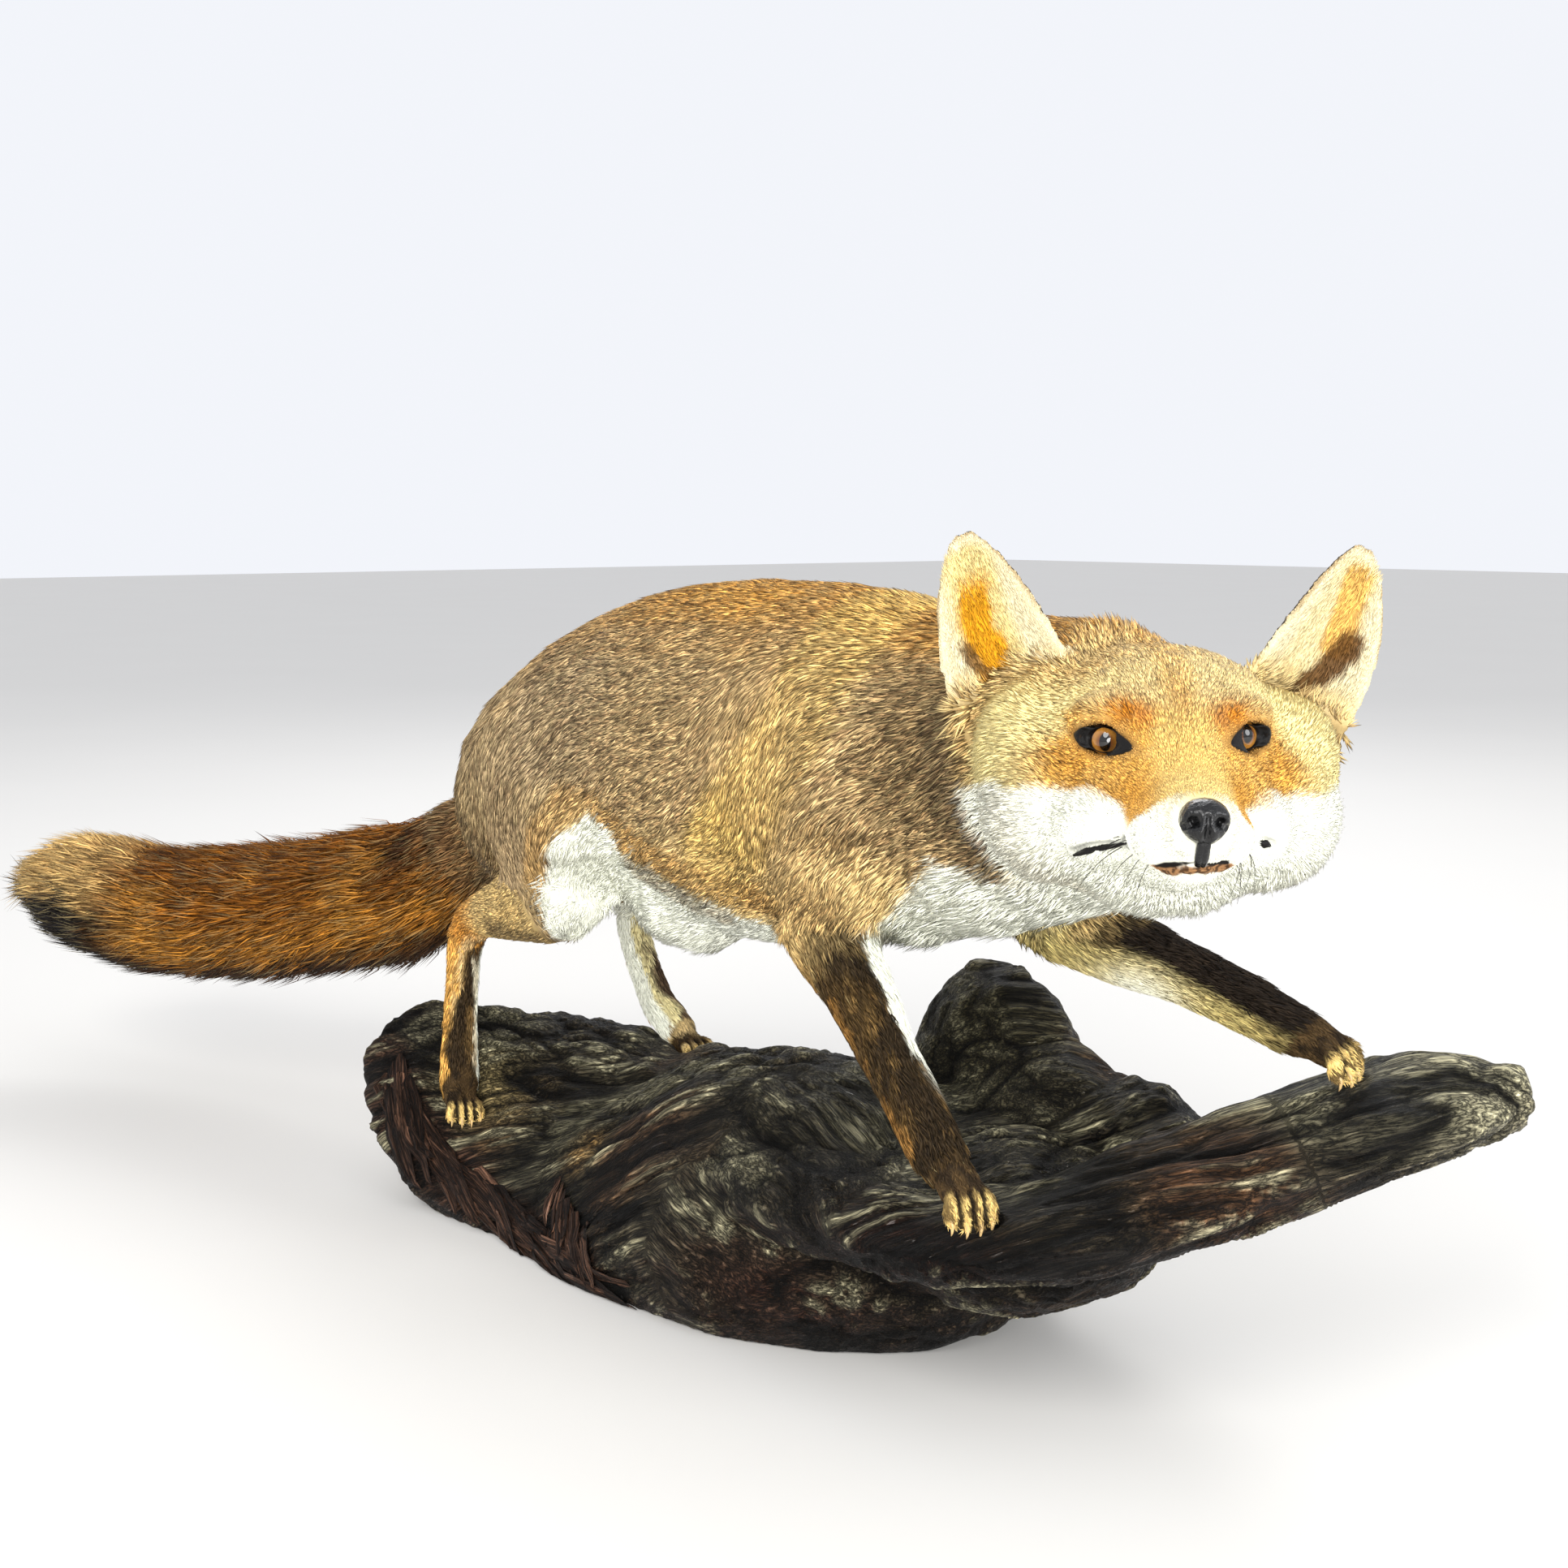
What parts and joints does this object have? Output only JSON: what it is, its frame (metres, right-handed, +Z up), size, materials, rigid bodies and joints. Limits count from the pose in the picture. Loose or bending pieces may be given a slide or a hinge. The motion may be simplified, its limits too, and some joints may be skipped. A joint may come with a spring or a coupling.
{
  "type": "taxidermy fox",
  "caption": "Life-size mounted red fox stalking with its head turned, on a driftwood base.",
  "frame": {"origin": "on the flat underside of the driftwood, below the middle of the trunk", "axes": "+X along the trunk towards the head, +Y to the fox's left, +Z up"},
  "size_m": [0.9813, 0.3471, 0.3797],
  "materials": {
    "coat_back": "fur, grey-brown with dark tips",
    "coat_head": "short fur, orange over white",
    "coat_tail": "long fur, ochre with dark tips",
    "coat_legs": "short fur, dark brown",
    "coat_paws": "short fur, cream and brown",
    "coat_ears": "short fur, cream inside and black behind",
    "eye_glass": "polished glass eye",
    "nose_skin": "varnished pebbled skin",
    "driftwood": "dark stained, coarse grain"
  },
  "bodies": {
    "root": {"driftwood": "driftwood", "ear_left": "coat_ears", "ear_right": "coat_ears", "eye_left": "eye_glass", "eye_right": "eye_glass", "foreleg_left": "coat_legs", "foreleg_right": "coat_legs", "forepaw_left": "coat_paws", "forepaw_right": "coat_paws", "head": "coat_head", "hind_leg_left": "coat_legs", "hind_leg_right": "coat_legs", "hindpaw_left": "coat_paws", "hindpaw_right": "coat_paws", "neck": "coat_back", "nose": "nose_skin", "tail": "coat_tail", "tail_tip": "coat_tail", "trunk": "coat_back"}
  },
  "joints": []
}
